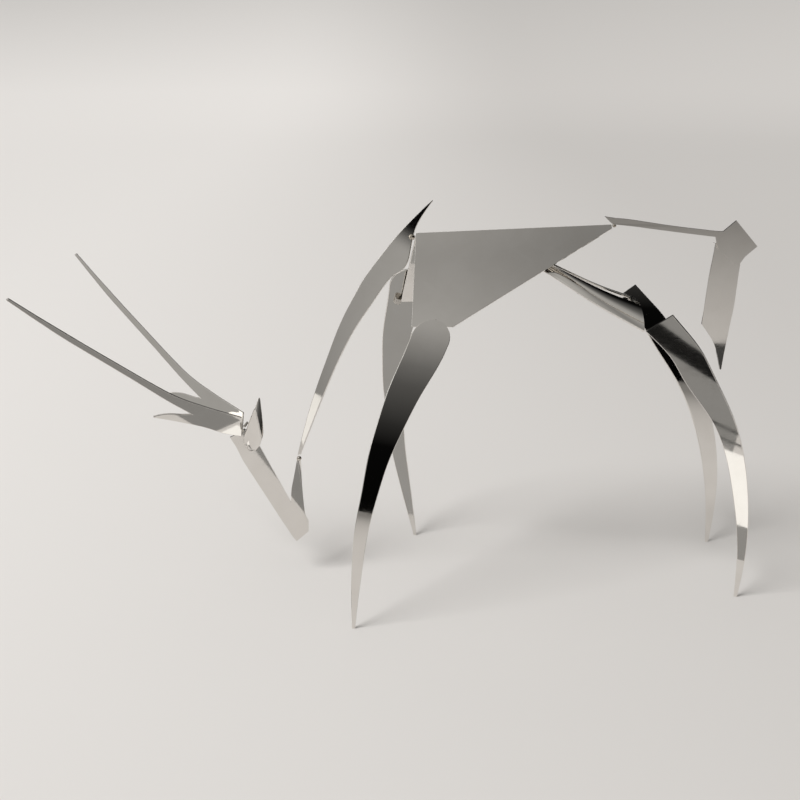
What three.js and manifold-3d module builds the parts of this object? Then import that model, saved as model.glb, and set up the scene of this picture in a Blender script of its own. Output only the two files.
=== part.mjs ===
// A grazing deer welded from mirror-polished stainless steel sheet.
// Millimetres, +Z up. The head points to -X and the deer's left side is towards -Y.
import * as THREE from 'three';
import { mergeVertices } from 'three/addons/utils/BufferGeometryUtils.js';
import Module from 'manifold-3d';

const wasm = await Module();
wasm.setup();

// Driving sizes
const height = 435; // floor to the tip of the spike above the withers
const sheet = 2.5; // thickness of the steel
const seam = 0.3; // clearance left along every welded seam
const tipWidth = 1.8; // width left on each sharp tip
const footWidth = 3.6; // width of a leg on the floor
const forelegWidth = 41; // widest part of a foreleg, just under its round top
const earWidth = 19.5;
const studDiameter = 8.5; // round spacers at the shoulders and the crossbar at the hips
const pinDiameter = 3; // short rod between an antler and an ear
const beadRadius = 3.6; // weld bead at the withers, rump and jaw

// The pose is drawn at this height, and grow turns it into the chosen one.
const drawnHeight = 435;
const grow = height / drawnHeight;
const LEFT = -1;
const RIGHT = 1;
const at = (x, y, z) => new THREE.Vector3(x * grow, y * grow, z * grow);
const mirrored = (side, points) => points.map(([x, y, z]) => at(x, side * y, z));
const radians = THREE.MathUtils.degToRad;

const steel = (roughness) => new THREE.MeshStandardMaterial({ color: 0xd6d6d2, metalness: 1, roughness });
const polished = steel(0.05);
const ground = steel(0.35);

const group = new THREE.Group();

function add(name, geometry, material = polished) {
  const mesh = new THREE.Mesh(geometry, material);
  mesh.name = name;
  group.add(mesh);
  return mesh;
}

// Solids for joining and cutting
function solidOf(geometry) {
  const bare = geometry.clone();
  bare.deleteAttribute('normal');
  bare.deleteAttribute('uv');
  const merged = mergeVertices(bare, 1e-4);
  return new wasm.Manifold(new wasm.Mesh({
    numProp: 3,
    vertProperties: merged.attributes.position.array,
    triVerts: new Uint32Array(merged.index.array),
  }));
}

function geometryOf(solid) {
  const mesh = solid.getMesh();
  const indexed = new THREE.BufferGeometry();
  indexed.setAttribute('position', new THREE.BufferAttribute(mesh.vertProperties, 3));
  indexed.setIndex(new THREE.BufferAttribute(mesh.triVerts, 1));
  const geometry = indexed.toNonIndexed();
  geometry.computeVertexNormals();
  return geometry;
}

const joined = (a, b) => geometryOf(solidOf(a).add(solidOf(b)));

function cutAtFloor(geometry) {
  const depth = 50;
  const below = new THREE.BoxGeometry(4 * height, 4 * height, depth).translate(0, 0, -depth / 2);
  return geometryOf(solidOf(geometry).subtract(solidOf(below)));
}

// Bent sheet: surface(s, k) is the middle of the sheet at s along it, 0 to 1, and k across it, -1 to 1.
function bentSheet(surface, { lengthwise = 20, across = 1, spacing = (s) => s } = {}) {
  const step = 1e-3;
  const skins = [[], []];
  for (let i = 0; i <= lengthwise; i += 1) {
    for (let j = 0; j <= across; j += 1) {
      const s = spacing(i / lengthwise);
      const k = (2 * j) / across - 1;
      const along = surface(Math.min(s + step, 1), k).sub(surface(Math.max(s - step, 0), k));
      const aside = surface(s, Math.min(k + step, 1)).sub(surface(s, Math.max(k - step, -1)));
      const half = along.cross(aside).setLength(sheet / 2);
      skins[0].push(surface(s, k).add(half));
      skins[1].push(surface(s, k).sub(half));
    }
  }
  const corners = [];
  const point = (skin, i, j) => skins[skin][i * (across + 1) + j];
  const quad = (a, b, c, d) => corners.push(a, b, c, a, c, d);
  for (let i = 0; i < lengthwise; i += 1) {
    for (let j = 0; j < across; j += 1) {
      quad(point(0, i, j), point(0, i + 1, j), point(0, i + 1, j + 1), point(0, i, j + 1));
      quad(point(1, i, j), point(1, i, j + 1), point(1, i + 1, j + 1), point(1, i + 1, j));
    }
    quad(point(0, i, 0), point(1, i, 0), point(1, i + 1, 0), point(0, i + 1, 0));
    quad(point(0, i, across), point(0, i + 1, across), point(1, i + 1, across), point(1, i, across));
  }
  for (let j = 0; j < across; j += 1) {
    quad(point(0, 0, j), point(0, 0, j + 1), point(1, 0, j + 1), point(1, 0, j));
    quad(point(0, lengthwise, j), point(1, lengthwise, j), point(1, lengthwise, j + 1), point(0, lengthwise, j + 1));
  }
  const geometry = new THREE.BufferGeometry().setFromPoints(corners);
  geometry.computeVertexNormals();
  return geometry;
}

// A surface between two edges with as many points each, arched by so much across its width
function between(firstEdge, secondEdge, arch = () => 0) {
  const first = new THREE.CatmullRomCurve3(firstEdge, false, 'centripetal');
  const second = new THREE.CatmullRomCurve3(secondEdge, false, 'centripetal');
  return (s, k) => {
    const width = second.getPoint(s).sub(first.getPoint(s));
    const out = first.getTangent(s).add(second.getTangent(s)).cross(width).normalize();
    return first.getPoint(s).addScaledVector(width, (k + 1) / 2).addScaledVector(out, arch(s) * (1 - k * k));
  };
}

// Flat sheet cut to a shape and set in the plane of two directions
function flatSheet(shape, origin, right, up, curveSegments = 4) {
  const facing = new THREE.Vector3().crossVectors(right, up);
  return new THREE.ExtrudeGeometry(shape, { depth: sheet, bevelEnabled: false, curveSegments })
    .translate(0, 0, -sheet / 2)
    .applyMatrix4(new THREE.Matrix4().makeBasis(right, up, facing).setPosition(origin));
}

const flat = (points) => points.map(([x, y]) => new THREE.Vector2(x * grow, y * grow));
const inMedianPlane = (shape, y = 0) => flatSheet(
  shape,
  new THREE.Vector3(0, y, 0),
  new THREE.Vector3(1, 0, 0),
  new THREE.Vector3(0, 0, 1),
);

// A shape from stretches that are either straight runs or smooth curves through their points
function shapeOf(...stretches) {
  const shape = new THREE.Shape();
  const start = flat(stretches[0].points)[0];
  shape.moveTo(start.x, start.y);
  for (const { points, smooth } of stretches) {
    const [, ...rest] = flat(points);
    if (smooth) shape.splineThru(rest);
    else rest.forEach((p) => shape.lineTo(p.x, p.y));
  }
  shape.closePath();
  return shape;
}

const curve = (...points) => ({ points, smooth: true });
const line = (...points) => ({ points, smooth: false });

// A short round bar between two points
function bar(from, to, diameter) {
  const length = from.distanceTo(to);
  const turn = new THREE.Quaternion().setFromUnitVectors(
    new THREE.Vector3(0, 1, 0),
    to.clone().sub(from).normalize(),
  );
  return new THREE.CylinderGeometry(diameter / 2, diameter / 2, length, 16)
    .applyQuaternion(turn)
    .translate(...from.clone().add(to).multiplyScalar(0.5).toArray());
}

const bead = (x, z, radius = beadRadius) => new THREE.SphereGeometry(radius, 16, 10)
  .rotateX(Math.PI / 2)
  .translate(x * grow, 0, z * grow);

// Neck: a sickle from the spike down to the jaw, turned a little more towards the front as it goes down
const neckFront = [
  [34.4, 434.2], [23, 423], [5.4, 405.3], [-5.5, 393], [-13.5, 383], [-20.5, 374], [-25.5, 367.5],
  [-33.5, 357], [-46.1, 337.1], [-66.4, 297.1], [-79, 265], [-91.6, 230.7], [-104.5, 191], [-116.4, 145],
];
const neckRear = [
  [35.6, 433.6], [30, 426], [17.4, 404.5], [13.6, 391], [11.2, 378], [8.4, 367.2], [3.8, 360],
  [-5.2, 354], [-26.5, 327.5], [-50.4, 291.5], [-67, 259.5], [-80.7, 228.4], [-95.4, 192], [-113.4, 146],
];
const neckTurnTop = radians(6);
const neckTurnLow = radians(26);
{
  const turned = (edge, other, direction) => edge.map(([x, z], i) => {
    const half = 0.5 * Math.hypot(x - other[i][0], z - other[i][1]);
    const turn = THREE.MathUtils.lerp(neckTurnTop, neckTurnLow, i / (edge.length - 1));
    return at(x, direction * half * Math.tan(turn), z);
  });
  const surface = between(turned(neckFront, neckRear, RIGHT), turned(neckRear, neckFront, LEFT));
  add('neck', joined(bentSheet(surface, { lengthwise: 42, across: 2 }), bead(12.6, 394.5)));
}

// Head: the long plate of the face and the short arm of the jaw, one flat piece in the median plane
{
  const shape = shapeOf(
    line([-193.2, 166.5], [-186.7, 155.7], [-179.4, 138.9], [-136.8, 65.6]),
    line([-136.8, 65.6], [-124.7, 45.6], [-120.2, 39.6], [-106, 52.2], [-105.8, 65]),
    curve([-105.8, 65], [-109.4, 73], [-111.2, 90], [-112.6, 115], [-113.2, 142]),
    line([-113.2, 142], [-117.2, 142]),
    curve([-117.2, 142], [-121, 122], [-124.6, 104], [-125.6, 88]),
    line([-125.6, 88], [-159.4, 154.8], [-171, 175]),
  );
  add('head', joined(inMedianPlane(shape), bead(-115.2, 141, beadRadius * 0.75)));
}

// Antlers: flat forked blades, spread, raised and rolled outwards, standing on the top of the face
const antlerSpread = radians(31.2);
const antlerRise = radians(33.6);
const antlerRoll = radians(18);
const antlerLength = 295;
const antlerFoot = [-179.5, 168.5]; // where the rear corner meets the face
const antlerCorner = [-14.9, -20]; // that corner in the antler's own plane
const antlerShape = shapeOf(
  curve(antlerCorner, [4.8, -26.3], [32.5, -31], [65.2, -39.6], [88.5, -47]),
  line([88.5, -47], [88.9, -45.6]),
  curve([88.9, -45.6], [83.3, -40], [75.3, -34.5], [62, -28.2], [53.6, -23.4]),
  curve([53.6, -23.4], [88.6, -22.3], [136.7, -18.5], [179.4, -15.6], [220.5, -12.8], [259, -8.6], [antlerLength, -4]),
  line([antlerLength, -4], [antlerLength - 1, -4 + 1.6 * tipWidth]),
  curve([antlerLength - 1, -4 + 1.6 * tipWidth], [254, -4.4], [200, -8], [157, -10.4], [110, -12.7], [78.5, -12.7],
    [46, -8.4], [20, -3.6], [0, 0.3]),
);

function antler(side) {
  const level = new THREE.Vector3(-Math.cos(antlerSpread), side * Math.sin(antlerSpread), 0);
  const beam = level.clone().multiplyScalar(Math.cos(antlerRise));
  beam.z = Math.sin(antlerRise);
  const outward = new THREE.Vector3(Math.sin(antlerSpread), side * Math.cos(antlerSpread), 0);
  const upright = new THREE.Vector3(0, 0, 1).addScaledVector(beam, -beam.z).normalize();
  const up = upright.multiplyScalar(Math.cos(antlerRoll)).addScaledVector(outward, Math.sin(antlerRoll));
  up.addScaledVector(beam, -up.dot(beam)).normalize();
  const corner = new THREE.Vector3(antlerFoot[0] * grow, side * (sheet + seam), antlerFoot[1] * grow);
  const origin = corner
    .addScaledVector(beam, -antlerCorner[0] * grow)
    .addScaledVector(up, -antlerCorner[1] * grow);
  return flatSheet(antlerShape, origin, beam, up);
}

// Ears: cupped leaves that stand on the face and lean outwards
const earBase = [-168.5, 151];
const earTip = [-161.2, 19.2, 206]; // the second is how far it leans out
const earHollow = 3;
const earStandOff = 1; // room for the hollow beside the face

function earSurface(side) {
  const base = new THREE.Vector3(earBase[0] * grow, side * (sheet + seam + earStandOff), earBase[1] * grow);
  const reach = at(earTip[0] - earBase[0], side * earTip[1], earTip[2] - earBase[1]);
  const aside = new THREE.Vector3(1, 0, 0);
  const inward = reach.clone().cross(aside).normalize().multiplyScalar(side);
  if (inward.y * side > 0) inward.negate();
  const widest = 0.3;
  return (s, k) => {
    const low = Math.sqrt(Math.max(0, 1 - (1 - s / widest) ** 2));
    const taper = (1 - s) / (1 - widest);
    const share = s < widest ? low : taper * (1 + 0.35 * taper * (1 - taper));
    const half = 0.5 * (tipWidth + (earWidth * grow - tipWidth) * share);
    return base.clone()
      .addScaledVector(reach, s)
      .addScaledVector(aside, k * half)
      .addScaledVector(inward, earHollow * grow * share * (1 - k * k));
  };
}

// Flanks: two plates that lean together along the back, mitred at the ridge
const ridge = [[17.4, 399], [229, 408.2]]; // front and rear end
const flankCorners = {
  [LEFT]: [[229.4, 2.7, 404.2], [56.6, 60.8, 308.6], [12.2, 59.7, 308.4]],
  [RIGHT]: [[229.4, 2.7, 404.2], [64.5, 58.1, 313], [0.9, 56.4, 312.8]],
}; // below the rear end of the ridge, rear and front of the short lower edge

function flank(side) {
  const [front, rear] = ridge.map(([x, z]) => new THREE.Vector3(x * grow, (side * seam) / 2, z * grow));
  const rough = mirrored(side, flankCorners[side]);
  const outward = rear.clone().sub(front).cross(rough[2].clone().sub(front)).normalize();
  if (outward.y * side < 0) outward.negate();
  const plane = new THREE.Plane().setFromNormalAndCoplanarPoint(outward, front);
  const corners = rough.map((p) => plane.projectPoint(p, new THREE.Vector3()));
  const under = (p) => p.clone().setZ(p.z - sheet / outward.z);
  const inside = (p) => p.clone().addScaledVector(outward, -sheet);
  const geometry = prism([front, rear, ...corners], [under(front), under(rear), ...corners.map(inside)], side);
  return { geometry, outward, front };
}

// A closed solid between two convex outlines with as many corners each
function prism(outer, inner, side) {
  const corners = [];
  const face = (...points) => {
    const ring = side === LEFT ? points : points.reverse();
    for (let i = 1; i < ring.length - 1; i += 1) corners.push(ring[0], ring[i + 1], ring[i]);
  };
  face(...outer);
  face(...[...inner].reverse());
  outer.forEach((p, i) => {
    const next = (i + 1) % outer.length;
    face(p, inner[i], inner[next], outer[next]);
  });
  const geometry = new THREE.BufferGeometry().setFromPoints(corners);
  geometry.computeVertexNormals();
  return geometry;
}

// Forelegs: sickles with a round top, bent outwards and set in a walking pose
const forelegs = {
  [LEFT]: {
    top: [38.4, 63, 315.8],
    foot: [-49.3, 145, 0],
    bow: 25,
    middle: [0, -8.3, -15.2, -20.6, -22.2, -22.8, -19.4, -13.6, -4.6, 0.8],
    share: [0, 0.12, 0.23, 0.3, 0.37, 0.5, 0.66, 0.83, 0.97, 1],
    studAt: [0.99, -0.1],
  },
  [RIGHT]: {
    top: [9.2, 40, 352],
    foot: [19.2, 114.8, 0],
    bow: 33,
    middle: [0, -6.7, -12.9, -18.3, -20.5, -21.8, -19.2, -14, -4.8, 0.8],
    share: [0, 0.16, 0.29, 0.385, 0.45, 0.56, 0.69, 0.84, 0.97, 1],
    studAt: [0.897, -0.42],
  },
}; // middle is the way the blade lies in front of the chord, by ninths, and share is that of its full width

function forelegSurface(side) {
  const { top, foot, bow, middle, share } = forelegs[side];
  const [crown, sole] = mirrored(side, [top, foot]);
  const chord = crown.clone().sub(sole);
  const aside = new THREE.Vector3(chord.z, 0, -chord.x).normalize();
  const outward = new THREE.Vector3(0, side, 0);
  const last = middle.length - 1;
  const middleLine = new THREE.SplineCurve(middle.map((x, i) => new THREE.Vector2(x * grow, i / last)));
  const widths = new THREE.SplineCurve(share.map((x, i) => new THREE.Vector2(x, i / last)));
  const radius = (forelegWidth * grow) / 2 / chord.length();
  return (s, k) => {
    const round = s > 1 - radius ? Math.sqrt(Math.max(0, 1 - ((s - 1 + radius) / radius) ** 2)) : 1;
    const full = footWidth + (forelegWidth * grow - footWidth) * widths.getPoint(s).x;
    const half = 0.5 * Math.max(tipWidth, full * round);
    return sole.clone()
      .addScaledVector(chord, s)
      .addScaledVector(aside, middleLine.getPoint(s).x + k * half)
      .addScaledVector(outward, bow * grow * 4 * s * (1 - s));
  };
}

function foreleg(side) {
  const surface = forelegSurface(side);
  const reach = 0.01; // a little below the floor before it is cut flat
  const lengthened = (s, k) => (s > reach ? surface(s, k)
    : surface(reach, k).lerp(surface(2 * reach, k), (s - reach) / reach));
  const below = (s, k) => {
    const point = lengthened(s, k);
    return s < reach ? point.setZ(point.z - (sheet * (reach - s)) / reach) : point;
  };
  return cutAtFloor(bentSheet(below, { lengthwise: 40, across: 2, spacing: (s) => Math.sin((s * Math.PI) / 2) }));
}

function shoulderStud(side, flankPlate) {
  const surface = forelegSurface(side);
  const [s, k] = forelegs[side].studAt;
  const onLeg = surface(s, k);
  const { outward, front } = flankPlate;
  const distance = onLeg.clone().sub(front).dot(outward);
  const near = onLeg.clone().addScaledVector(outward, 2 * seam - distance);
  const far = onLeg.clone().addScaledVector(outward, -sheet / 2 - 4 * seam);
  return bar(near, far, studDiameter * grow);
}

// Thighs: leaves that start inside the back and widen to the hips, rolled over so their outer edge hangs
const thighLower = [[133, 14, 371], [154, 18, 360], [195, 42, 337], [222, 60, 323], [254.2, 83.8, 308.2]];
const thighUpper = [[138, 8, 376.5], [160, 9.5, 366.5], [193, 11, 350.5], [226, 14.5, 335.2], [259.4, 16, 323.2]];
const thighArch = 4;

// A round crossbar holds the upper corners of the thighs apart.
const crossbarAt = [257.6, 322];
const crossbarLength = 29;
add('hip_crossbar', bar(
  at(crossbarAt[0], crossbarLength / -2, crossbarAt[1]),
  at(crossbarAt[0], crossbarLength / 2, crossbarAt[1]),
  studDiameter * grow,
), ground);

// Hind legs: tapered strips from the hips, bent back and then down to the floor
const hindFront = {
  [LEFT]: [
    [255.6, 85, 309], [271, 84.4, 294.5], [284, 83.5, 280], [299, 82, 256], [333, 78.5, 209],
    [361, 74, 131], [373.4, 68.5, 54], [374.4, 65.4, 0],
  ],
  [RIGHT]: [
    [256.4, 85, 312.2], [271, 85, 296], [284, 85.5, 279], [299, 86, 255.5], [331, 87.5, 207],
    [362, 90, 131], [376.6, 92, 54], [379.6, 93, 0],
  ],
};
const hindRear = {
  [LEFT]: [
    [280, 97, 329], [297, 95.5, 310], [311, 94, 293], [327, 91, 266], [355.6, 86, 211],
    [377.4, 78, 131], [382.6, 71, 53], [377.9, 66.4, 0],
  ],
  [RIGHT]: [
    [276.6, 97, 323.6], [296, 97, 303.5], [310, 97, 288.5], [329, 97, 262], [359, 96.5, 208],
    [384, 96, 130], [389, 95.5, 56], [383.1, 94, 0],
  ],
};

function hindLeg(side) {
  const low = (edge) => {
    const points = mirrored(side, edge);
    const foot = points[points.length - 1];
    foot.z -= sheet;
    return points;
  };
  return cutAtFloor(bentSheet(between(low(hindFront[side]), low(hindRear[side])), { lengthwise: 40, across: 2 }));
}

// Croup: a narrow bar from the rump that ends in a diamond, one flat piece
{
  const shape = shapeOf(
    line([221.2, 416.8], [233.6, 414.9]),
    curve([233.6, 414.9], [251, 413.2], [292.9, 406.9], [341.6, 401.1], [351, 401]),
    line([351, 401], [363.8, 412.4], [388.6, 384.4], [375.9, 372.9], [368.8, 362]),
    line([368.8, 362], [354, 374.8]),
    curve([354, 374.8], [347.1, 380], [344.2, 387], [342.6, 394.6]),
    curve([342.6, 394.6], [293.3, 400.7], [251.3, 406.2], [231.5, 408.2]),
    line([231.5, 408.2], [228.4, 409.8]),
  );
  add('croup', joined(inMedianPlane(shape), bead(232.1, 406.9, beadRadius * 0.58)));
}

// Tail: a blade that hangs from behind the diamond
{
  const shape = shapeOf(
    line([341, 388], [343.7, 386.8]),
    curve([343.7, 386.8], [342.3, 374], [338.8, 347], [334.5, 297.2]),
    curve([334.5, 297.2], [343, 285.6], [349.5, 275], [354, 262], [358.2, 245.2]),
    line([358.2, 245.2], [359.8, 245.2]),
    curve([359.8, 245.2], [361.8, 264.4], [365, 290], [368.8, 318], [371, 350], [373.4, 380]),
  );
  add('tail', inMedianPlane(shape, sheet + seam));
}

for (const [side, name] of [[LEFT, 'left'], [RIGHT, 'right']]) {
  const ear = earSurface(side);
  add(`${name}_antler`, antler(side));
  add(`${name}_ear`, bentSheet(ear, { lengthwise: 18, across: 6, spacing: (s) => s ** 1.6 }));
  const flankPlate = flank(side);
  add(`${name}_flank`, flankPlate.geometry);
  add(`${name}_foreleg`, foreleg(side));
  add(`${name}_shoulder_stud`, shoulderStud(side, flankPlate), ground);
  const thigh = between(
    mirrored(side, thighLower),
    mirrored(side, thighUpper),
    (s) => side * -1 * thighArch * grow * Math.sqrt(s),
  );
  add(`${name}_thigh`, bentSheet(thigh, { lengthwise: 16, across: 6 }));
  add(`${name}_hind_leg`, hindLeg(side));
  const from = at(-177.6, side * 7.6, 176.4);
  const to = ear(0.52, -1).add(new THREE.Vector3(-2.3, 0, 0));
  add(`${name}_ear_pin`, bar(from, to, pinDiameter * grow), ground);
}

// The origin is the middle of the outline on the floor.
const extent = new THREE.Box3().setFromObject(group);
const centre = extent.getCenter(new THREE.Vector3());
for (const mesh of group.children) mesh.geometry.translate(-centre.x, -centre.y, -extent.min.z);

export default group;
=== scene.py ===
"""A grazing deer welded from mirror-polished stainless steel sheet, dressed for the camera.

Sizes are in millimetres until a mesh is written. The head points to -X and the left side to -Y.
"""
import math

import bmesh
import bpy
import numpy as np
from mathutils import Matrix, Vector, noise


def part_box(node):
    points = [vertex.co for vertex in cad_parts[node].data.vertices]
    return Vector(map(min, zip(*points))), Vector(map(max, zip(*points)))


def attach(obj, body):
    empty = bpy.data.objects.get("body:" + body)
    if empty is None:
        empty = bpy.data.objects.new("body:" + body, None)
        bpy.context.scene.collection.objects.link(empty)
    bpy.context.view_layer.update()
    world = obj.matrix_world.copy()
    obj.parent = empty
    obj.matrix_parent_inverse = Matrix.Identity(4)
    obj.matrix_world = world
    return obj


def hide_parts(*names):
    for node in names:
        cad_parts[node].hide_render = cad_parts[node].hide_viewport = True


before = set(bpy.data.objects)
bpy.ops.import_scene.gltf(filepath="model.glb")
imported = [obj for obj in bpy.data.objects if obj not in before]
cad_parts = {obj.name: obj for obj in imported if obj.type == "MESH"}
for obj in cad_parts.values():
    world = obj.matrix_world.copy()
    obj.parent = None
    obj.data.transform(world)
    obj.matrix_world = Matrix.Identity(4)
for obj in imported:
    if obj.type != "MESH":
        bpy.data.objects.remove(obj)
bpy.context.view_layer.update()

MM = 0.001
SHEET = 2.5
EDGE_ROUND = 0.7  # radius that polishing leaves on the cut edges
HOLD = 0.12  # close loop beside a rounded edge, which keeps the flat face flat
TIP_WIDTH = 1.8
FOOT_WIDTH = 3.6
FORELEG_WIDTH = 41.0
SHARP_FROM = math.radians(40)  # shading breaks at corners sharper than this
RIM_ROUND = 0.35  # radius on the rims of the rods
LUMP = 0.09  # share of its radius by which a weld bead is uneven
LUMP_SCALE = 0.55  # lumps per millimetre of the bead
EDGE_STEPS = 4  # faces across each rounded edge
MERGE = 1e-3  # points of a blade that are nearer to each other than this become one
PLATE_MERGE = 2e-3  # the same for the plates of the plain model, which are loose triangles
FLAT_WITHIN = math.radians(0.5)  # faces that turn by less than this are one flat face
ROUND_FROM = math.radians(35)  # corners of a plate sharper than this are rounded
MIDDLE_HEIGHT = 0.22  # in metres, where the patterns of the materials are centred
ROOM_WHITE = (1.0, 0.985, 0.955)  # the faintly warm white of what the steel mirrors
STEP = 1e-3  # share of a blade over which its directions are taken
DEPTH_ORDER = 3  # power of the height up to which a strip may bend out of its plane
LEFT = -1
RIGHT = 1
SIDES = ((LEFT, "left"), (RIGHT, "right"))

# The pose is drawn about the ridge of the back. The crossbar at the hips tells where it went.
CROSSBAR_DRAWN = Vector((257.6, 0.0, 322.0))
bar_low, bar_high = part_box("hip_crossbar")
SHIFT = (bar_low + bar_high) / (2 * MM) - CROSSBAR_DRAWN


# Curves and surfaces

def smooth_line(points, knots=None):
    """Curve of even curvature through the points, as a function from 0 to 1."""
    p = np.array(points, float)
    t = np.linspace(0, 1, len(p)) if knots is None else knots
    gap = np.diff(t)
    last = len(p) - 1
    matrix = np.eye(last + 1)
    pull = np.zeros_like(p)
    for i in range(1, last):
        matrix[i, i - 1:i + 2] = gap[i - 1], 2 * (gap[i - 1] + gap[i]), gap[i]
        pull[i] = 6 * ((p[i + 1] - p[i]) / gap[i] - (p[i] - p[i - 1]) / gap[i - 1])
    bend = np.linalg.solve(matrix, pull)

    def point(s):
        i = int(np.clip(np.searchsorted(t, s, "right") - 1, 0, last - 1))
        u = (s - t[i]) / gap[i]
        w = 1 - u
        share = gap[i] ** 2 / 6
        return w * p[i] + u * p[i + 1] - share * ((w - w**3) * bend[i] + (u - u**3) * bend[i + 1])

    return point


def shared_knots(first, second):
    """Knots from 0 to 1 in step with the way along both edges."""
    steps = sum(np.linalg.norm(np.diff(np.array(e, float), axis=0), axis=1) for e in (first, second))
    return np.concatenate([[0], np.cumsum(steps)]) / steps.sum()


def even_depth(points, order):
    """Depth across the side view as a low, smooth function that lies near the points."""
    p = np.array(points, float)
    x0, z0 = p[:, 0].mean(), p[:, 2].mean()

    def terms(x, z):
        u, w = (x - x0) / 100, (z - z0) / 100
        return [w**n for n in range(order + 1)] + [u * w**n for n in range(order)]

    rows = np.array([terms(x, z) for x, _, z in p])
    weights = np.linalg.lstsq(rows, p[:, 1], rcond=None)[0]
    return lambda x, z: float(np.dot(terms(x, z), weights))


def strip(first, second):
    """Strip between two edges in the side view, with its depth evened out."""
    knots = shared_knots(first, second)
    one, other = smooth_line(first, knots), smooth_line(second, knots)
    depth = even_depth(list(first) + list(second), DEPTH_ORDER)

    def surface(s, k):
        x, _, z = one(s) * (1 - k) / 2 + other(s) * (1 + k) / 2
        return Vector((x, depth(x, z), z))

    return surface


def facing(surface, s, k):
    """Direction that the sheet faces at that place."""
    along = surface(min(s + STEP, 1), k) - surface(max(s - STEP, 0), k)
    aside = surface(s, min(k + STEP, 1)) - surface(s, max(k - STEP, -1))
    return along.cross(aside).normalized()


# Making meshes

def finish_piece(name, bm, material, nodes=()):
    """Writes the mesh in metres at its place and hangs it on the body."""
    bmesh.ops.translate(bm, verts=bm.verts[:], vec=SHIFT)
    bmesh.ops.scale(bm, verts=bm.verts[:], vec=(MM, MM, MM))
    mesh = bpy.data.meshes.new(name)
    bm.to_mesh(mesh)
    bm.free()
    mesh.shade_smooth()
    mesh.set_sharp_from_angle(angle=SHARP_FROM)
    mesh.materials.append(material)
    piece = bpy.data.objects.new(name, mesh)
    bpy.context.scene.collection.objects.link(piece)
    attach(piece, "root")
    if nodes:
        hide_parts(*nodes)
    return piece


def rounded_section(half, columns):
    """Closed outline of the sheet cut across: (way from the middle, height over the middle plane)."""
    up = SHEET / 2
    r = min(EDGE_ROUND, 0.6 * half)
    hold = min(HOLD, 0.1 * half)
    flat = half - r
    inner = flat - hold
    across = [-flat] + [inner * (2 * i / columns - 1) for i in range(columns + 1)] + [flat]
    quarter = [i * math.pi / (2 * EDGE_STEPS) for i in range(1, EDGE_STEPS + 1)]
    right = [(flat + r * math.sin(a), up - r + r * math.cos(a)) for a in quarter]
    side = right + [(half, up - r - hold), (half, r - up + hold)]
    side += [(w, -h) for w, h in reversed(right)]
    top = [(w, up) for w in across]
    below = [(-w, -h) for w, h in top]
    return top + side + below + [(-w, -h) for w, h in side]


def bent_blade(surface, half_width, rows, columns=2, spacing=lambda s: s):
    """Sheet with rounded edges, bent along a surface. half_width(s) is half its width there."""
    loop = len(rounded_section(10.0, columns))
    bm = bmesh.new()
    bmesh.ops.create_grid(bm, x_segments=loop, y_segments=rows, size=1)
    for vert in bm.verts:
        s = spacing(round((vert.co.y + 1) / 2 * rows) / rows)
        half = half_width(s)
        w, h = rounded_section(half, columns)[round((vert.co.x + 1) / 2 * loop) % loop]
        k = w / half
        vert.co = surface(s, k) + facing(surface, s, k) * h
    bmesh.ops.remove_doubles(bm, verts=bm.verts[:], dist=MERGE)
    bmesh.ops.holes_fill(bm, edges=[e for e in bm.edges if e.is_boundary], sides=0)
    bmesh.ops.recalc_face_normals(bm, faces=bm.faces[:])
    return bm


def cut_at_floor(bm):
    """Saws the foot off level with the floor and closes it."""
    geometry = bm.verts[:] + bm.edges[:] + bm.faces[:]
    bmesh.ops.bisect_plane(bm, geom=geometry, dist=1e-4, plane_co=-SHIFT, plane_no=(0, 0, 1),
                           clear_inner=True)
    bmesh.ops.holes_fill(bm, edges=[e for e in bm.edges if e.is_boundary], sides=0)
    bmesh.ops.recalc_face_normals(bm, faces=bm.faces[:])
    return bm


def flat_blade(node, material):
    """The plate as it was cut, with its edges rounded by polishing."""
    bm = bmesh.new()
    bm.from_mesh(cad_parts[node].data)
    bmesh.ops.scale(bm, verts=bm.verts[:], vec=(1 / MM, 1 / MM, 1 / MM))
    bmesh.ops.translate(bm, verts=bm.verts[:], vec=-SHIFT)
    bmesh.ops.remove_doubles(bm, verts=bm.verts[:], dist=PLATE_MERGE)
    bmesh.ops.dissolve_limit(bm, angle_limit=FLAT_WITHIN, verts=bm.verts[:], edges=bm.edges[:])
    piece = finish_piece(node + "_plate", bm, material, (node,))
    rounding = piece.modifiers.new("rounded_edges", "BEVEL")
    rounding.width = EDGE_ROUND * MM
    rounding.segments = EDGE_STEPS
    rounding.limit_method = "ANGLE"
    rounding.angle_limit = ROUND_FROM
    rounding.harden_normals = True


def round_bar(start, end, diameter):
    """Short rod with its rims softened."""
    way = end - start
    turn = Vector((0, 0, 1)).rotation_difference(way).to_matrix().to_4x4()
    bm = bmesh.new()
    bmesh.ops.create_cone(bm, cap_ends=True, segments=48, radius1=diameter / 2,
                          radius2=diameter / 2, depth=way.length)
    rims = [e for e in bm.edges if len(e.link_faces) == 2 and e.calc_face_angle() > 1]
    bmesh.ops.bevel(bm, geom=rims, offset=RIM_ROUND, offset_type="OFFSET", segments=3, profile=0.5,
                    affect="EDGES", material=-1)
    bmesh.ops.transform(bm, matrix=Matrix.Translation((start + end) / 2) @ turn, verts=bm.verts[:])
    return bm


def weld_bead(place, radius, seed):
    """Blob of weld metal, a little lumpy."""
    bm = bmesh.new()
    bmesh.ops.create_icosphere(bm, subdivisions=5, radius=radius)
    for vert in bm.verts:
        vert.co *= 1 + LUMP * noise.noise(vert.co * LUMP_SCALE + Vector((seed, 0, 0)))
    bmesh.ops.translate(bm, verts=bm.verts[:], vec=place)
    return bm


# Materials

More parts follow.
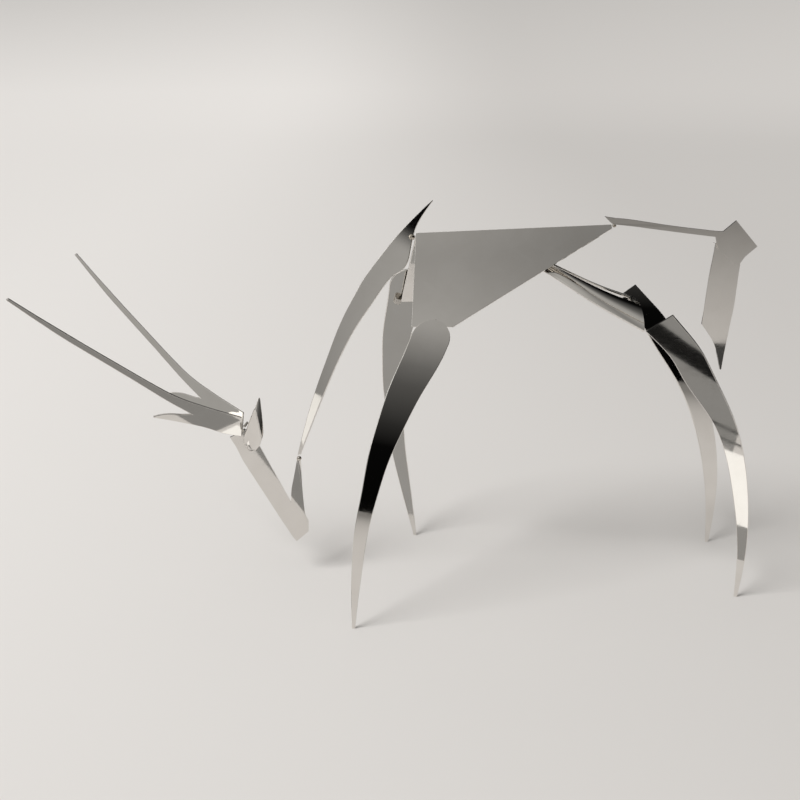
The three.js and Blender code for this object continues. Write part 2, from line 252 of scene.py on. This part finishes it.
def colour(code):
    """sRGB hex to the linear colour that the shader takes."""
    parts = [int(code[i:i + 2], 16) / 255 for i in (0, 2, 4)]
    return tuple(c / 12.92 if c <= 0.04045 else ((c + 0.055) / 1.055) ** 2.4 for c in parts) + (1.0,)


def add_node(tree, kind, settings=None, inputs=None):
    """Adds a node with its settings. An input is a value, or the socket that feeds it."""
    made = tree.nodes.new(kind)
    for key, value in (settings or {}).items():
        setattr(made, key, value)
    for key, value in (inputs or {}).items():
        if isinstance(value, bpy.types.NodeSocket):
            tree.links.new(value, made.inputs[key])
        else:
            made.inputs[key].default_value = value
    return made


def per_metre(size_mm):
    """Scale of a noise whose features are that many millimetres apart."""
    return 1 / (size_mm * MM)


def new_material(name):
    """An empty material, its tree, its shader and its coordinates centred on the sculpture."""
    material = bpy.data.materials.new(name)
    material.use_nodes = True
    tree = material.node_tree
    shader = tree.nodes["Principled BSDF"]
    place = add_node(tree, "ShaderNodeTexCoord")
    centred = add_node(tree, "ShaderNodeMapping", inputs={
        "Vector": place.outputs["Object"], "Location": (0, 0, -MIDDLE_HEIGHT)})
    return material, tree, shader, centred.outputs["Vector"]


def all_steel(tree, shader, tone, roughness, normal):
    """Links what varies over a steel surface and makes it metal."""
    tree.links.new(tone.outputs[2], shader.inputs["Base Color"])
    tree.links.new(roughness, shader.inputs["Roughness"])
    tree.links.new(normal.outputs["Normal"], shader.inputs["Normal"])
    shader.inputs["Metallic"].default_value = 1.0


def mirror_polished_stainless():
    """Stainless sheet buffed to a mirror: hard, clear reflections that swim a little because
    rolled sheet is never quite flat, with a faint haze of buffing lines and finger marks."""
    material, tree, shader, place = new_material("mirror_polished_stainless")
    rolled = add_node(tree, "ShaderNodeTexNoise", inputs={
        "Vector": place, "Scale": per_metre(70), "Detail": 1.0, "Roughness": 0.4})
    waves = add_node(tree, "ShaderNodeBump", inputs={
        "Strength": 1.0, "Distance": 0.06 * MM, "Height": rolled.outputs["Fac"]})
    turned = add_node(tree, "ShaderNodeMapping", inputs={
        "Vector": place, "Rotation": (0.0, math.radians(35), 0.0), "Scale": (1.0, 1.0, 14.0)})
    buffing = add_node(tree, "ShaderNodeTexNoise", inputs={
        "Vector": turned.outputs["Vector"], "Scale": per_metre(9), "Detail": 3.0})
    marks = add_node(tree, "ShaderNodeTexNoise", inputs={
        "Vector": place, "Scale": per_metre(26), "Detail": 4.0, "Distortion": 0.6})
    marked = add_node(tree, "ShaderNodeMapRange", inputs={
        "Value": marks.outputs["Fac"], "From Min": 0.52, "From Max": 0.72,
        "To Min": 0.0, "To Max": 0.035})
    haze = add_node(tree, "ShaderNodeMapRange", inputs={
        "Value": buffing.outputs["Fac"], "From Min": 0.3, "From Max": 0.7,
        "To Min": 0.022, "To Max": 0.05})
    gloss = add_node(tree, "ShaderNodeMath", {"operation": "ADD"}, {
        0: haze.outputs["Result"], 1: marked.outputs["Result"]})
    tone = add_node(tree, "ShaderNodeMix", {"data_type": "RGBA"}, {
        "Factor": marks.outputs["Fac"], "A": colour("e9e6e1"), "B": colour("dedad4")})
    all_steel(tree, shader, tone, gloss.outputs[0], waves)
    return material


def ground_stainless():
    """Round bar dressed with a flap disc: the same steel, its highlights spread by fine scratches."""
    material, tree, shader, place = new_material("ground_stainless")
    turned = add_node(tree, "ShaderNodeMapping", inputs={
        "Vector": place, "Scale": (6.0, 1.0, 1.0)})
    scratches = add_node(tree, "ShaderNodeTexNoise", inputs={
        "Vector": turned.outputs["Vector"], "Scale": per_metre(1.2), "Detail": 4.0})
    spread = add_node(tree, "ShaderNodeMapRange", inputs={
        "Value": scratches.outputs["Fac"], "From Min": 0.3, "From Max": 0.7,
        "To Min": 0.12, "To Max": 0.3})
    grooves = add_node(tree, "ShaderNodeBump", inputs={
        "Strength": 0.5, "Distance": 0.02 * MM, "Height": scratches.outputs["Fac"]})
    tone = add_node(tree, "ShaderNodeMix", {"data_type": "RGBA"}, {
        "Factor": scratches.outputs["Fac"], "A": colour("c9c6c0"), "B": colour("a8a49d")})
    all_steel(tree, shader, tone, spread.outputs["Result"], grooves)
    return material


def weld_metal():
    """Stainless weld, brushed clean: lumpy and bright, with a breath of straw from the heat."""
    material, tree, shader, place = new_material("weld_metal")
    ripples = add_node(tree, "ShaderNodeTexNoise", inputs={
        "Vector": place, "Scale": per_metre(1.6), "Detail": 3.0})
    surface = add_node(tree, "ShaderNodeBump", inputs={
        "Strength": 0.7, "Distance": 0.1 * MM, "Height": ripples.outputs["Fac"]})
    tint = add_node(tree, "ShaderNodeMix", {"data_type": "RGBA"}, {
        "Factor": ripples.outputs["Fac"], "A": colour("d2cec6"), "B": colour("a3957f")})
    rough = add_node(tree, "ShaderNodeMapRange", inputs={
        "Value": ripples.outputs["Fac"], "From Min": 0.3, "From Max": 0.7,
        "To Min": 0.08, "To Max": 0.22})
    all_steel(tree, shader, tint, rough.outputs["Result"], surface)
    return material


def matt_studio_board():
    """Matt studio board: pale grey without a sheen, so it runs to the back with no horizon. Its
    colour holds painted shade: darker to the right and darker as it rises.
    """
    material, tree, shader, place = new_material("matt_studio_board")
    parts = add_node(tree, "ShaderNodeSeparateXYZ", inputs={"Vector": place})
    # Painted shade: the board's colour turns darker towards the right.
    side = add_node(tree, "ShaderNodeMapRange", {"interpolation_type": "SMOOTHSTEP"}, {
        "Value": parts.outputs["X"], "From Min": -1.1, "From Max": 1.1,
        "To Min": 0.0, "To Max": 1.0})
    tone = add_node(tree, "ShaderNodeMix", {"data_type": "RGBA"}, {
        "Factor": side.outputs["Result"], "A": colour("e6e3e0"), "B": colour("cac7c4")})
    # Painted shade: the board's colour turns darker as it rises.
    painted_shade_upward = add_node(tree, "ShaderNodeMapRange", inputs={
        "Value": parts.outputs["Z"], "From Min": 0.0, "From Max": 1.6,
        "To Min": 0.0, "To Max": 0.72})
    shaded = add_node(tree, "ShaderNodeMix", {"data_type": "RGBA"}, {
        "Factor": painted_shade_upward.outputs["Result"], "A": tone.outputs[2], "B": colour("a9a7a4")})
    tree.links.new(shaded.outputs[2], shader.inputs["Base Color"])
    shader.inputs["Roughness"].default_value = 0.3
    shader.inputs["Specular IOR Level"].default_value = 0.0
    return material


def board_under_room_light():
    """The same board where only the steel sees it, darker with distance from the lamps."""
    material, tree, shader, place = new_material("board_under_room_light")
    distance = add_node(tree, "ShaderNodeVectorMath", {"operation": "LENGTH"}, {0: place})
    faded = add_node(tree, "ShaderNodeMapRange", {"interpolation_type": "SMOOTHSTEP"}, {
        "Value": distance.outputs["Value"], "From Min": 0.5, "From Max": 3.6,
        "To Min": 0.0, "To Max": 1.0})
    tone = add_node(tree, "ShaderNodeMix", {"data_type": "RGBA"}, {
        "Factor": faded.outputs["Result"], "A": colour("dedbd9"), "B": colour("8f8d8b")})
    tree.links.new(tone.outputs[2], shader.inputs["Base Color"])
    shader.inputs["Roughness"].default_value = 0.6
    return material


def card_finish(name, level):
    """Card that glows by so much, which gives an even tone with a crisp border in the steel."""
    material = bpy.data.materials.new(name)
    material.use_nodes = True
    tree = material.node_tree
    shader = tree.nodes["Principled BSDF"]
    shader.inputs["Base Color"].default_value = (0, 0, 0, 1)
    shader.inputs["Roughness"].default_value = 1.0
    shader.inputs["Specular IOR Level"].default_value = 0.0
    shader.inputs["Emission Color"].default_value = (*ROOM_WHITE, 1.0)
    shader.inputs["Emission Strength"].default_value = level
    return material


polished = mirror_polished_stainless()
ground = ground_stainless()
weld = weld_metal()
board = matt_studio_board()


# Neck

NECK_FRONT = [
    (34.4, 434.2), (23, 423), (5.4, 405.3), (-5.5, 393), (-13.5, 383), (-20.5, 374), (-25.5, 367.5),
    (-33.5, 357), (-46.1, 337.1), (-66.4, 297.1), (-79, 265), (-91.6, 230.7), (-104.5, 191),
    (-116.4, 145),
]
NECK_REAR = [
    (35.6, 433.6), (30, 426), (17.4, 404.5), (13.6, 391), (11.2, 378), (8.4, 367.2), (3.8, 360),
    (-5.2, 354), (-26.5, 327.5), (-50.4, 291.5), (-67, 259.5), (-80.7, 228.4), (-95.4, 192),
    (-113.4, 146),
]
NECK_TURN_TOP = math.radians(6)
NECK_TURN_LOW = math.radians(26)


def turned_edge(edge, other, direction):
    """An edge of the neck set back or forward, as the blade turns a little more on its way down."""
    points = []
    for i, ((x, z), (ox, oz)) in enumerate(zip(edge, other)):
        share = i / (len(edge) - 1)
        turn = NECK_TURN_TOP + (NECK_TURN_LOW - NECK_TURN_TOP) * share
        points.append((x, direction * 0.5 * math.hypot(x - ox, z - oz) * math.tan(turn), z))
    return points


def width_of(surface):
    """Half the width of a strip, as a function of the way along it."""
    return lambda s: (surface(s, 1) - surface(s, -1)).length / 2


neck_surface = strip(turned_edge(NECK_FRONT, NECK_REAR, RIGHT),
                     turned_edge(NECK_REAR, NECK_FRONT, LEFT))
neck = bent_blade(neck_surface, width_of(neck_surface), rows=150)
finish_piece("neck_blade", neck, polished, ("neck",))

# Flat plates and welds

for node in ("head", "left_antler", "right_antler", "croup", "tail", "left_flank", "right_flank"):
    flat_blade(node, polished)

# Name, place, radius and the number that sets its lumps apart
WELDS = [
    ("withers_weld", (12.6, 0, 394.5), 3.62, 1.0),
    ("jaw_weld", (-115.2, 0, 141), 2.72, 2.0),
    ("rump_weld", (232.1, 0, 406.9), 2.1, 3.0),
]
for name, place, radius, seed in WELDS:
    finish_piece(name, weld_bead(Vector(place), radius, seed), weld)

# Ears

EAR_BASE = (-168.5, 3.8, 151.0)
EAR_REACH = (7.3, 19.2, 55.0)
EAR_WIDTH = 19.5
EAR_HOLLOW = 3.0
EAR_WIDEST = 0.3  # share of its length at which the ear is widest
EAR_BELLY = 0.35  # how far its sides bulge out of a straight taper
EAR_SPACING = 1.6  # power that draws the rows together at its round base


def ear_share(s):
    """Share of the ear's full width at s along it."""
    if s < EAR_WIDEST:
        return math.sqrt(max(0.0, 1 - (1 - s / EAR_WIDEST) ** 2))
    taper = (1 - s) / (1 - EAR_WIDEST)
    return taper * (1 + EAR_BELLY * taper * (1 - taper))


def ear_half(s):
    """Half the width of the ear at s along it."""
    return 0.5 * (TIP_WIDTH + (EAR_WIDTH - TIP_WIDTH) * ear_share(s))


def ear_surface(side):
    """Cupped leaf that stands on the face and leans outwards."""
    base = Vector((EAR_BASE[0], side * EAR_BASE[1], EAR_BASE[2]))
    reach = Vector((EAR_REACH[0], side * EAR_REACH[1], EAR_REACH[2]))
    aside = Vector((1, 0, 0))
    inward = reach.cross(aside).normalized()
    if inward.y * side > 0:
        inward.negate()

    def surface(s, k):
        hollow = EAR_HOLLOW * ear_share(s) * (1 - k * k)
        return base + reach * s + aside * (k * ear_half(s)) + inward * hollow

    return surface


for side, name in SIDES:
    ear = bent_blade(ear_surface(side), ear_half, rows=60, columns=8,
                     spacing=lambda s: s**EAR_SPACING)
    finish_piece(name + "_ear_leaf", ear, polished, (name + "_ear",))

# Forelegs

FORELEGS = {
    LEFT: {
        "top": (38.4, 63, 315.8), "foot": (-49.3, 145, 0), "bow": 25,
        "middle": [0, -8.3, -15.2, -20.6, -22.2, -22.8, -19.4, -13.6, -4.6, 0.8],
        "share": [0, 0.12, 0.23, 0.3, 0.37, 0.5, 0.66, 0.83, 0.97, 1],
    },
    RIGHT: {
        "top": (9.2, 40, 352), "foot": (19.2, 114.8, 0), "bow": 33,
        "middle": [0, -6.7, -12.9, -18.3, -20.5, -21.8, -19.2, -14, -4.8, 0.8],
        "share": [0, 0.16, 0.29, 0.385, 0.45, 0.56, 0.69, 0.84, 0.97, 1],
    },
}
FOOT_REACH = 0.01  # the last of the leg runs straight on through the floor before it is sawn off


def foreleg_parts(side):
    """The surface of a foreleg and half its width."""
    leg = FORELEGS[side]
    crown = Vector((leg["top"][0], side * leg["top"][1], leg["top"][2]))
    sole = Vector((leg["foot"][0], side * leg["foot"][1], leg["foot"][2]))
    chord = crown - sole
    aside = Vector((chord.z, 0, -chord.x)).normalized()
    middle = smooth_line([[m] for m in leg["middle"]])
    share = smooth_line([[w] for w in leg["share"]])
    radius = FORELEG_WIDTH / 2 / chord.length

    def half(s):
        s = max(s, 0)
        crown_way = max(0.0, (s - 1 + radius) / radius)
        rounding = math.sqrt(max(0.0, 1 - crown_way**2))
        full = FOOT_WIDTH + (FORELEG_WIDTH - FOOT_WIDTH) * float(share(s)[0])
        return 0.5 * max(TIP_WIDTH, full * rounding)

    def surface(s, k):
        bow = Vector((0, side * leg["bow"] * 4 * s * (1 - s), 0))
        return sole + chord * s + aside * (float(middle(s)[0]) + k * half(s)) + bow

    def through_floor(s, k):
        if s > FOOT_REACH:
            return surface(s, k)
        share_below = (FOOT_REACH - s) / FOOT_REACH
        low = surface(FOOT_REACH, k).lerp(surface(2 * FOOT_REACH, k), -share_below)
        low.z -= SHEET * share_below
        return low

    return through_floor, half


for side, name in SIDES:
    leg_surface, leg_half = foreleg_parts(side)
    leg = bent_blade(leg_surface, leg_half, rows=160,
                     spacing=lambda s: math.sin(s * math.pi / 2))
    finish_piece(name + "_foreleg_blade", cut_at_floor(leg), polished,
                 (name + "_foreleg",))

# Thighs and hind legs

THIGH_LOWER = [(133, 14, 371), (154, 18, 360), (195, 42, 337), (222, 60, 323), (254.2, 83.8, 308.2)]
THIGH_UPPER = [(138, 8, 376.5), (160, 9.5, 366.5), (193, 11, 350.5), (226, 14.5, 335.2),
               (259.4, 16, 323.2)]
THIGH_ARCH = 4.0
HIND_FRONT = {
    LEFT: [(255.6, 85, 309), (271, 84.4, 294.5), (284, 83.5, 280), (299, 82, 256), (333, 78.5, 209),
           (361, 74, 131), (373.4, 68.5, 54), (374.4, 65.4, 0)],
    RIGHT: [(256.4, 85, 312.2), (271, 85, 296), (284, 85.5, 279), (299, 86, 255.5), (331, 87.5, 207),
            (362, 90, 131), (376.6, 92, 54), (379.6, 93, 0)],
}
HIND_REAR = {
    LEFT: [(280, 97, 329), (297, 95.5, 310), (311, 94, 293), (327, 91, 266), (355.6, 86, 211),
           (377.4, 78, 131), (382.6, 71, 53), (377.9, 66.4, 0)],
    RIGHT: [(276.6, 97, 323.6), (296, 97, 303.5), (310, 97, 288.5), (329, 97, 262), (359, 96.5, 208),
            (384, 96, 130), (389, 95.5, 56), (383.1, 94, 0)],
}


def on_side(side, points):
    """The points as they lie on that side of the deer."""
    return [(x, side * y, z) for x, y, z in points]


def thigh_surface(side):
    """Leaf between its two edges, arched across so that its outer edge hangs."""
    lower, upper = on_side(side, THIGH_LOWER), on_side(side, THIGH_UPPER)
    knots = shared_knots(lower, upper)
    one, other = smooth_line(lower, knots), smooth_line(upper, knots)

    def surface(s, k):
        a, b = Vector(one(s)), Vector(other(s))
        near, far = max(s - STEP, 0), min(s + STEP, 1)
        along = Vector(one(far)) - Vector(one(near)) + Vector(other(far)) - Vector(other(near))
        out = along.cross(b - a).normalized()
        return a + (b - a) * (k + 1) / 2 + out * (-side * THIGH_ARCH * math.sqrt(s) * (1 - k * k))

    return surface


def sunk_foot(side, edge):
    """An edge of a hind leg, its lower end a little under the floor."""
    points = on_side(side, edge)
    x, y, z = points[-1]
    return points[:-1] + [(x, y, z - SHEET)]


for side, name in SIDES:
    thigh = thigh_surface(side)
    finish_piece(name + "_thigh_leaf", bent_blade(thigh, width_of(thigh), rows=60, columns=10),
                 polished, (name + "_thigh",))
    shank = strip(sunk_foot(side, HIND_FRONT[side]), sunk_foot(side, HIND_REAR[side]))
    leg = cut_at_floor(bent_blade(shank, width_of(shank), rows=150))
    finish_piece(name + "_hind_leg_blade", leg, polished, (name + "_hind_leg",))

# Rods

RODS = ("hip_crossbar", "left_shoulder_stud", "right_shoulder_stud", "left_ear_pin", "right_ear_pin")


def rod_like(node):
    """Rod with softened rims where the plain one lies: its long way is its axis."""
    spots = np.array([v.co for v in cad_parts[node].data.vertices]) / MM - np.array(SHIFT)
    middle = spots.mean(0)
    along, across, _ = np.linalg.svd(spots - middle)[2]
    half_length = np.abs((spots - middle) @ along).max()
    diameter = 2 * np.abs((spots - middle) @ across).max()
    way = Vector(along) * half_length
    return round_bar(Vector(middle) - way, Vector(middle) + way, diameter)


for node in RODS:
    finish_piece(node + "_rod", rod_like(node), ground, (node,))

# Studio

# Sizes and places in the studio are in metres.
FLOOR_FLAT = 7.0  # from the sculpture to where the board starts to rise
FLOOR_RISE = 7.0  # radius of that rise
FLAT_STEPS = 6
RISE_STEPS = 16
TABLE_REACH = 6.0  # half the side of the board that the steel mirrors, before the dark room begins
TABLE_DROP = -0.004  # it and the cards lie just under the board that the camera sees
CARD_DROP = -0.003
TOP_CARD_DROP = -0.002
DARK_CARD = 0.1  # cards darker than this lie on top of the others


def studio_sweep():
    """Board that rises all round like a shallow dish, as the camera sees it."""
    bm = bmesh.new()
    previous = bm.verts.new((0, 0, 0))
    steps = [(FLOOR_FLAT * i / FLAT_STEPS, 0) for i in range(1, FLAT_STEPS + 1)]
    steps += [(FLOOR_FLAT + FLOOR_RISE * math.sin(a), FLOOR_RISE * (1 - math.cos(a)))
              for a in np.linspace(0, math.pi / 2, RISE_STEPS + 1)[1:]]
    for x, z in steps:
        vert = bm.verts.new((x, 0, z))
        bm.edges.new((previous, vert))
        previous = vert
    bmesh.ops.spin(bm, geom=bm.verts[:] + bm.edges[:], cent=(0, 0, 0), axis=(0, 0, 1),
                   angle=2 * math.pi, steps=96, use_merge=True)
    bmesh.ops.remove_doubles(bm, verts=bm.verts[:], dist=1e-5)
    bmesh.ops.recalc_face_normals(bm, faces=bm.faces[:])
    return bm


def stage_piece(name, bm, material, camera=True, glossy=True, diffuse=True, shadow=True):
    """Part of the set, and which kinds of ray meet it."""
    mesh = bpy.data.meshes.new(name)
    bm.to_mesh(mesh)
    bm.free()
    mesh.shade_smooth()
    mesh.materials.append(material)
    piece = bpy.data.objects.new(name, mesh)
    bpy.context.scene.collection.objects.link(piece)
    piece.visible_camera = camera
    piece.visible_glossy = glossy
    piece.visible_diffuse = diffuse
    piece.visible_shadow = shadow


def flat_card(width, depth):
    """Level rectangle round the origin."""
    bm = bmesh.new()
    bmesh.ops.create_grid(bm, x_segments=1, y_segments=1, size=0.5)
    bmesh.ops.scale(bm, verts=bm.verts[:], vec=(width, depth, 1))
    return bm


def card_in_the_steel(name, bm, level):
    """Card that only the steel mirrors."""
    stage_piece(name, bm, card_finish(name, level), camera=False, diffuse=False, shadow=False)


stage_piece("studio_sweep", studio_sweep(), board, glossy=False, diffuse=False, shadow=False)

table = flat_card(2 * TABLE_REACH, 2 * TABLE_REACH)
bmesh.ops.translate(table, verts=table.verts[:], vec=(0, 0, TABLE_DROP))
stage_piece("floor_in_the_steel", table, board_under_room_light(), camera=False, shadow=False)

# Cards: name, left, right, near and far edge, how bright, and how far they lean to the right per
# metre. They give the bands on the near hind leg, the near antler, the far foreleg and the tail.
CARDS = [
    ("grey_by_hind_leg", 0.10, 0.30, -0.48, -0.306, 0.29, 0.0),
    ("black_by_hind_leg", 0.10, 0.28, -0.390, -0.371, 0.01, 0.0),
    ("line_by_hind_leg", 0.10, 0.32, -0.331, -0.3275, 0.09, 0.0),
    ("second_line_by_hind_leg", 0.10, 0.32, -0.3175, -0.3145, 0.09, 0.0),
    ("white_by_hind_leg", 0.24, 0.36, -0.306, -0.205, 1.2, 0.0),
    ("shade_by_hind_leg", 0.27, 0.38, -0.205, -0.145, 0.33, 0.0),
    ("grey_by_antler", -0.190, -0.140, -0.60, -0.150, 0.28, 0.36),
    ("white_by_antler", -0.105, -0.060, -0.145, -0.105, 1.15, 0.36),
    ("grey_by_far_foreleg", -0.04, 0.06, -0.125, -0.060, 0.36, 0.0),
    ("dark_by_tail", 0.40, 0.95, -1.15, -0.75, 0.06, 0.0),
]
for name, left, right, near, far, level, lean in CARDS:
    card = flat_card(right - left, far - near)
    for corner in card.verts:
        corner.co.x += lean * corner.co.y
    drop = TOP_CARD_DROP if level < DARK_CARD else CARD_DROP
    bmesh.ops.translate(card, verts=card.verts[:], vec=((left + right) / 2, (near + far) / 2, drop))
    card_in_the_steel(name, card, level)

# An upright card low on the left gives the white run down the lower half of the neck.
NECK_CARD_SIZE = (0.72, 0.25)
NECK_CARD_PLACE = (-2.24, -1.23, 0.115)
NECK_CARD_TURN = math.radians(-60)
NECK_CARD_LEVEL = 1.05
neck_card = flat_card(*NECK_CARD_SIZE)
for turn, axis in ((math.pi / 2, "X"), (NECK_CARD_TURN, "Z")):
    bmesh.ops.rotate(neck_card, verts=neck_card.verts[:], cent=(0, 0, 0),
                     matrix=Matrix.Rotation(turn, 3, axis))
bmesh.ops.translate(neck_card, verts=neck_card.verts[:], vec=NECK_CARD_PLACE)
card_in_the_steel("white_by_neck", neck_card, NECK_CARD_LEVEL)


def hang_lamp(name, light, direction):
    """Puts a light in the set, aimed that way."""
    lamp = bpy.data.objects.new(name, light)
    lamp.rotation_euler = Vector(direction).to_track_quat("-Z", "Y").to_euler()
    bpy.context.scene.collection.objects.link(lamp)
    return lamp


def soft_light(name, place, target, side, watts):
    """Square soft box that the camera doesn't see."""
    light = bpy.data.lights.new(name, "AREA")
    light.shape = "RECTANGLE"
    light.size, light.size_y = side, side
    light.energy = watts
    lamp = hang_lamp(name, light, Vector(target) - Vector(place))
    lamp.location = place
    lamp.visible_camera = False


def broad_light(name, direction, spread, strength):
    """Even light from a large far-off source, which gives the soft shadow to the right and behind."""
    light = bpy.data.lights.new(name, "SUN")
    light.energy = strength
    light.angle = math.radians(spread)
    hang_lamp(name, light, direction).visible_glossy = False


broad_light("key_from_the_left", direction=(0.75, 0.55, -1.0), spread=30, strength=2.45)
soft_light("fill_from_the_left", place=(-2.6, -0.6, 1.7), target=(-0.3, 0, 0.1), side=1.4, watts=9)


def studio_room():
    """The room as the steel sees it: dark at eye level, a bright ceiling bounce higher up."""
    world = bpy.data.worlds.new("studio_room")
    bpy.context.scene.world = world
    world.use_nodes = True
    tree = world.node_tree
    sky = tree.nodes["Background"]
    place = add_node(tree, "ShaderNodeTexCoord")
    parts = add_node(tree, "ShaderNodeSeparateXYZ", inputs={"Vector": place.outputs["Generated"]})

    def brightness_by_height(stops):
        ramp = add_node(tree, "ShaderNodeValToRGB", inputs={"Fac": parts.outputs["Z"]})
        while len(ramp.color_ramp.elements) < len(stops):
            ramp.color_ramp.elements.new(0.5)
        for element, (height, level) in zip(ramp.color_ramp.elements, stops):
            element.position = height
            element.color = [level * part for part in ROOM_WHITE] + [1.0]
        return ramp.outputs["Color"]

    dark_side = brightness_by_height([
        (0.0, 0.002), (0.26, 0.004), (0.342, 0.04), (0.485, 0.14), (0.545, 0.235), (0.656, 0.56),
        (0.73, 0.62), (0.84, 0.35), (1.0, 0.7)])
    light_side = brightness_by_height([
        (0.0, 0.30), (0.12, 0.40), (0.35, 0.46), (0.5, 0.50), (0.66, 0.62), (1.0, 0.75)])
    leftward = add_node(tree, "ShaderNodeMapRange", {"interpolation_type": "SMOOTHSTEP"}, {
        "Value": parts.outputs["X"], "From Min": -0.355, "From Max": -0.395,
        "To Min": 0.0, "To Max": 1.0})
    both = add_node(tree, "ShaderNodeMix", {"data_type": "RGBA"}, {
        "Factor": leftward.outputs["Result"], "A": dark_side, "B": light_side})
    rightward = add_node(tree, "ShaderNodeMapRange", inputs={
        "Value": parts.outputs["X"], "From Min": -0.01, "From Max": 0.10,
        "To Min": 0.0, "To Max": 0.30})
    dimmed = add_node(tree, "ShaderNodeMix", {"data_type": "RGBA"}, {
        "Factor": rightward.outputs["Result"], "A": both.outputs[2], "B": (0, 0, 0, 1)})
    tree.links.new(dimmed.outputs[2], sky.inputs["Color"])
    sky.inputs["Strength"].default_value = 1.0


studio_room()

# Camera

CAMERA_DRAWN = Vector((0, -1353.3, 600))
CAMERA_TILT = math.atan(0.288)
PHOTO_SIZE = 800
FOCAL_PIXELS = 1250
SENSOR = 36.0

camera_data = bpy.data.cameras.new("camera")
camera_data.sensor_width = SENSOR
camera_data.lens = FOCAL_PIXELS / PHOTO_SIZE * SENSOR
camera = bpy.data.objects.new("camera", camera_data)
camera.location = (CAMERA_DRAWN + SHIFT) * MM
camera.rotation_euler = (math.pi / 2 - CAMERA_TILT, 0, 0)
bpy.context.scene.collection.objects.link(camera)
bpy.context.scene.camera = camera
bpy.context.scene.view_settings.view_transform = "Standard"
